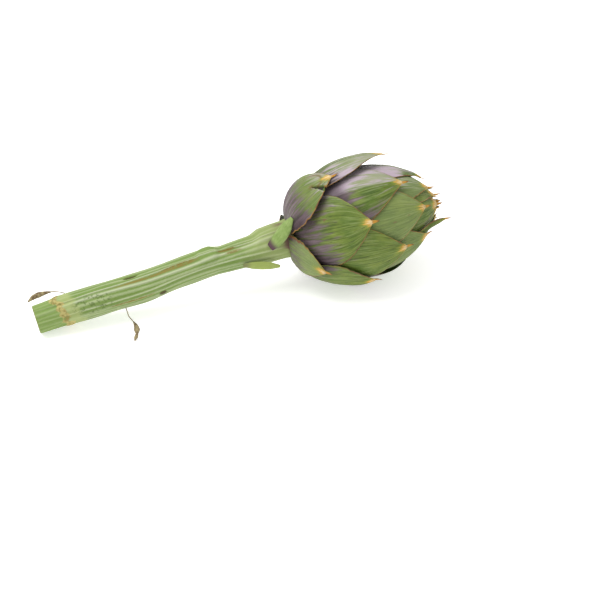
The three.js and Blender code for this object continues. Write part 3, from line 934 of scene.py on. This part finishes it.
def add_stem(material):
    """Stem, neck and receptacle are one growth, closed by the knife's cut at the far end."""
    heights = (0, RECEPTACLE_TOP / 2, RECEPTACLE_TOP)
    route = [NECK + np.array(point) for point in STEM_ROUTE] + [NECK + AXIS * h for h in heights]
    centre, tangent, distance = smooth_route(route, STEM_ROWS)
    neck = distance[-1] - RECEPTACLE_TOP
    above, side = square_to(np.array([0.0, 0.0, 1.0]), tangent)
    along, azimuth = np.meshgrid(distance, around_turn(STEM_COLUMNS), indexing="ij")
    radius = stem_radius(along, neck)
    tear = tear_line(azimuth, along)
    reach = radius + stem_relief(azimuth, along, tear) * neck_fade(along, neck)
    reach = reach - 0.5 * smoothstep(along, 0.9, 0.0) ** 2
    rings = centre[:, None] + above[:, None] * (reach * np.cos(azimuth))[..., None]
    rings = rings + side[:, None] * (reach * np.sin(azimuth))[..., None]
    fields = stem_fields(azimuth, along, radius, neck, tear)
    face = cut_face(rings[0], centre[0], tangent[0])
    rings = np.concatenate([face, rings])
    mesh = make_mesh("stem_and_receptacle", rings, with_cut_fields(fields), material)
    add_piece(mesh, "stem")


def with_cut_fields(fields):
    """The stem's fields, carried on over the cut face."""
    carried = {}
    for name, values in fields.items():
        carried[name] = np.concatenate([np.repeat(values[:1], CUT_ROWS, 0), values])
    share = np.linspace(0, 1, CUT_ROWS)[:, None, None]
    carried["grain"][:CUT_ROWS, :, :2] *= share
    carried["cut"][:CUT_ROWS] = 1
    for name in ("scar", "pale", "ridge"):
        carried[name][:CUT_ROWS] = 0
    return carried


def cut_face(rim, centre, tangent):
    """Rings from the middle of the cut to its rim. A knife's cut is nearly flat."""
    share = np.linspace(0, 1, CUT_ROWS)[:, None, None]
    rings = centre + (rim - centre) * share
    turn = np.linspace(0, 2 * math.pi, rim.shape[0], endpoint=False)
    dent = 0.25 * ripple(share[..., 0] * 3 * np.cos(turn), share[..., 0] * 3 * np.sin(turn), 21)
    sunk = 0.3 + dent * (1 - share[..., 0]) - 0.3 * share[..., 0]
    return rings + tangent * sunk[..., None]


# --- Small leaves and shreds -----------------------------------------------------------------


def shred_rings(route, flat_towards, sections, rows=60, columns=24):
    """A thin leaf or shred along a route, and its fields."""
    centre, tangent, distance = smooth_route(route, rows)
    out, side = square_to(np.array(flat_towards, float), tangent)
    sections = np.array(sections)
    places = np.linspace(0, distance[-1], len(sections))
    wide = np.interp(distance, places, sections[:, 0])[:, None]
    thick = np.interp(distance, places, sections[:, 1])[:, None]
    along, turn = np.meshgrid(distance, around_turn(columns), indexing="ij")
    rings = centre[:, None] + out[:, None] * (thick * np.cos(turn))[..., None]
    rings = rings + side[:, None] * (wide * np.sin(turn))[..., None]
    fields = {
        "grain": np.stack([wide * np.sin(turn), along, np.cos(turn)], -1),
        "violet": smoothstep(along, 6.0, 1.5),
        "yellow": np.zeros(along.shape),
    }
    return rings, fields


def on_head(points):
    return [around_head(np.array([r, h], float), math.radians(a)) for r, a, h in points]


def away_from_axis(degrees, height):
    """A direction out from the head's axis, leaning by height along it."""
    return around_head(np.array([1.0, height]), math.radians(degrees)) - NECK


def add_neck_leaf(material):
    route = on_head(NECK_LEAF_ROUTE)
    rings, fields = shred_rings(route, away_from_axis(45, -0.8), NECK_LEAF_SECTIONS)
    add_piece(make_mesh("neck_leaf_blade", rings, fields, material), "neck_leaf")


def add_stem_leaf(material):
    route = on_head(STEM_LEAF_ROUTE)
    rings, fields = shred_rings(route, away_from_axis(88, 0.0), STEM_LEAF_SECTIONS)
    fields["violet"] *= 0.5
    fields["yellow"] += 0.6
    add_piece(make_mesh("stem_leaf_blade", rings, fields, material), "stem_leaf")


def below_neck(points):
    """From the point of the floor under the neck to points of the frame."""
    return [np.array([NECK[0], NECK[1], 0]) + np.array(point) for point in points]


def add_cut_end_shred(material):
    route = below_neck(CUT_END_SHRED_ROUTE)
    sections = CUT_END_SHRED_BLADE + 2 * THREAD
    rings, fields = shred_rings(route, (0, -0.75, 0.65), sections, 90)
    add_piece(make_mesh("cut_end_dry_leaf", rings, fields, material), "cut_end_shred")


def add_hanging_shred(material):
    route = below_neck(HANGING_SHRED_ROUTE)
    sections = 4 * THREAD + HANGING_SHRED_BLADE
    rings, fields = shred_rings(route, (0, 0, 1), sections, 120)
    add_piece(make_mesh("hanging_dry_leaf", rings, fields, material), "hanging_shred")


# --- Floor, light and camera -----------------------------------------------------------------


def add_floor():
    mesh = bpy.data.meshes.new("floor")
    size = FLOOR_HALF_SIZE
    corners = [(-size, -size, 0), (size, -size, 0), (size, size, 0), (-size, size, 0)]
    mesh.from_pydata(corners, [], [(0, 1, 2, 3)])
    n = Nodes("floor")
    glow = {"Emission_Color": WHITE, "Emission_Strength": FLOOR_GLOW}
    mesh.materials.append(n.finish(Base_Color=FLOOR_GREY, Roughness=0.6, **glow))
    add_object("floor", mesh)


def add_key_light():
    data = bpy.data.lights.new("key", "AREA")
    data.shape = "DISK"
    data.size = KEY_SIZE
    data.energy = KEY_POWER
    light = add_object("key", data)
    light.location = KEY_PLACE
    light.rotation_euler = (-Vector(KEY_PLACE)).to_track_quat("-Z", "Y").to_euler()


def add_camera():
    level = math.cos(CAMERA_ELEVATION)
    ahead = (math.sin(CAMERA_AZIMUTH) * level, math.cos(CAMERA_AZIMUTH) * level, -math.sin(CAMERA_ELEVATION))
    forward = Vector(ahead)
    right = Vector((math.cos(CAMERA_AZIMUTH), -math.sin(CAMERA_AZIMUTH), 0))
    above = right.cross(forward)
    target = Vector(NECK * 0.001) + right * TARGET_RIGHT - above * TARGET_BELOW
    data = bpy.data.cameras.new("camera")
    data.lens = LENS
    data.sensor_width = SENSOR_WIDTH
    camera = add_object("camera", data)
    camera.location = target - forward * CAMERA_DISTANCE
    camera.rotation_euler = forward.to_track_quat("-Z", "Y").to_euler()
    bpy.context.scene.camera = camera


def add_world():
    world = bpy.data.worlds.new("studio")
    world.use_nodes = True
    background = world.node_tree.nodes["Background"]
    background.inputs["Color"].default_value = WHITE
    background.inputs["Strength"].default_value = WORLD_STRENGTH
    bpy.context.scene.world = world
    bpy.context.scene.view_settings.view_transform = "Standard"


add_camera()
add_floor()
add_world()
add_key_light()
bract = bract_material()
add_bracts(bract)
add_bud(bract)
add_stem(stem_material())
leaf = leaf_material()
add_neck_leaf(leaf)
add_stem_leaf(leaf)
dry = dry_material()
add_cut_end_shred(dry)
add_hanging_shred(dry)
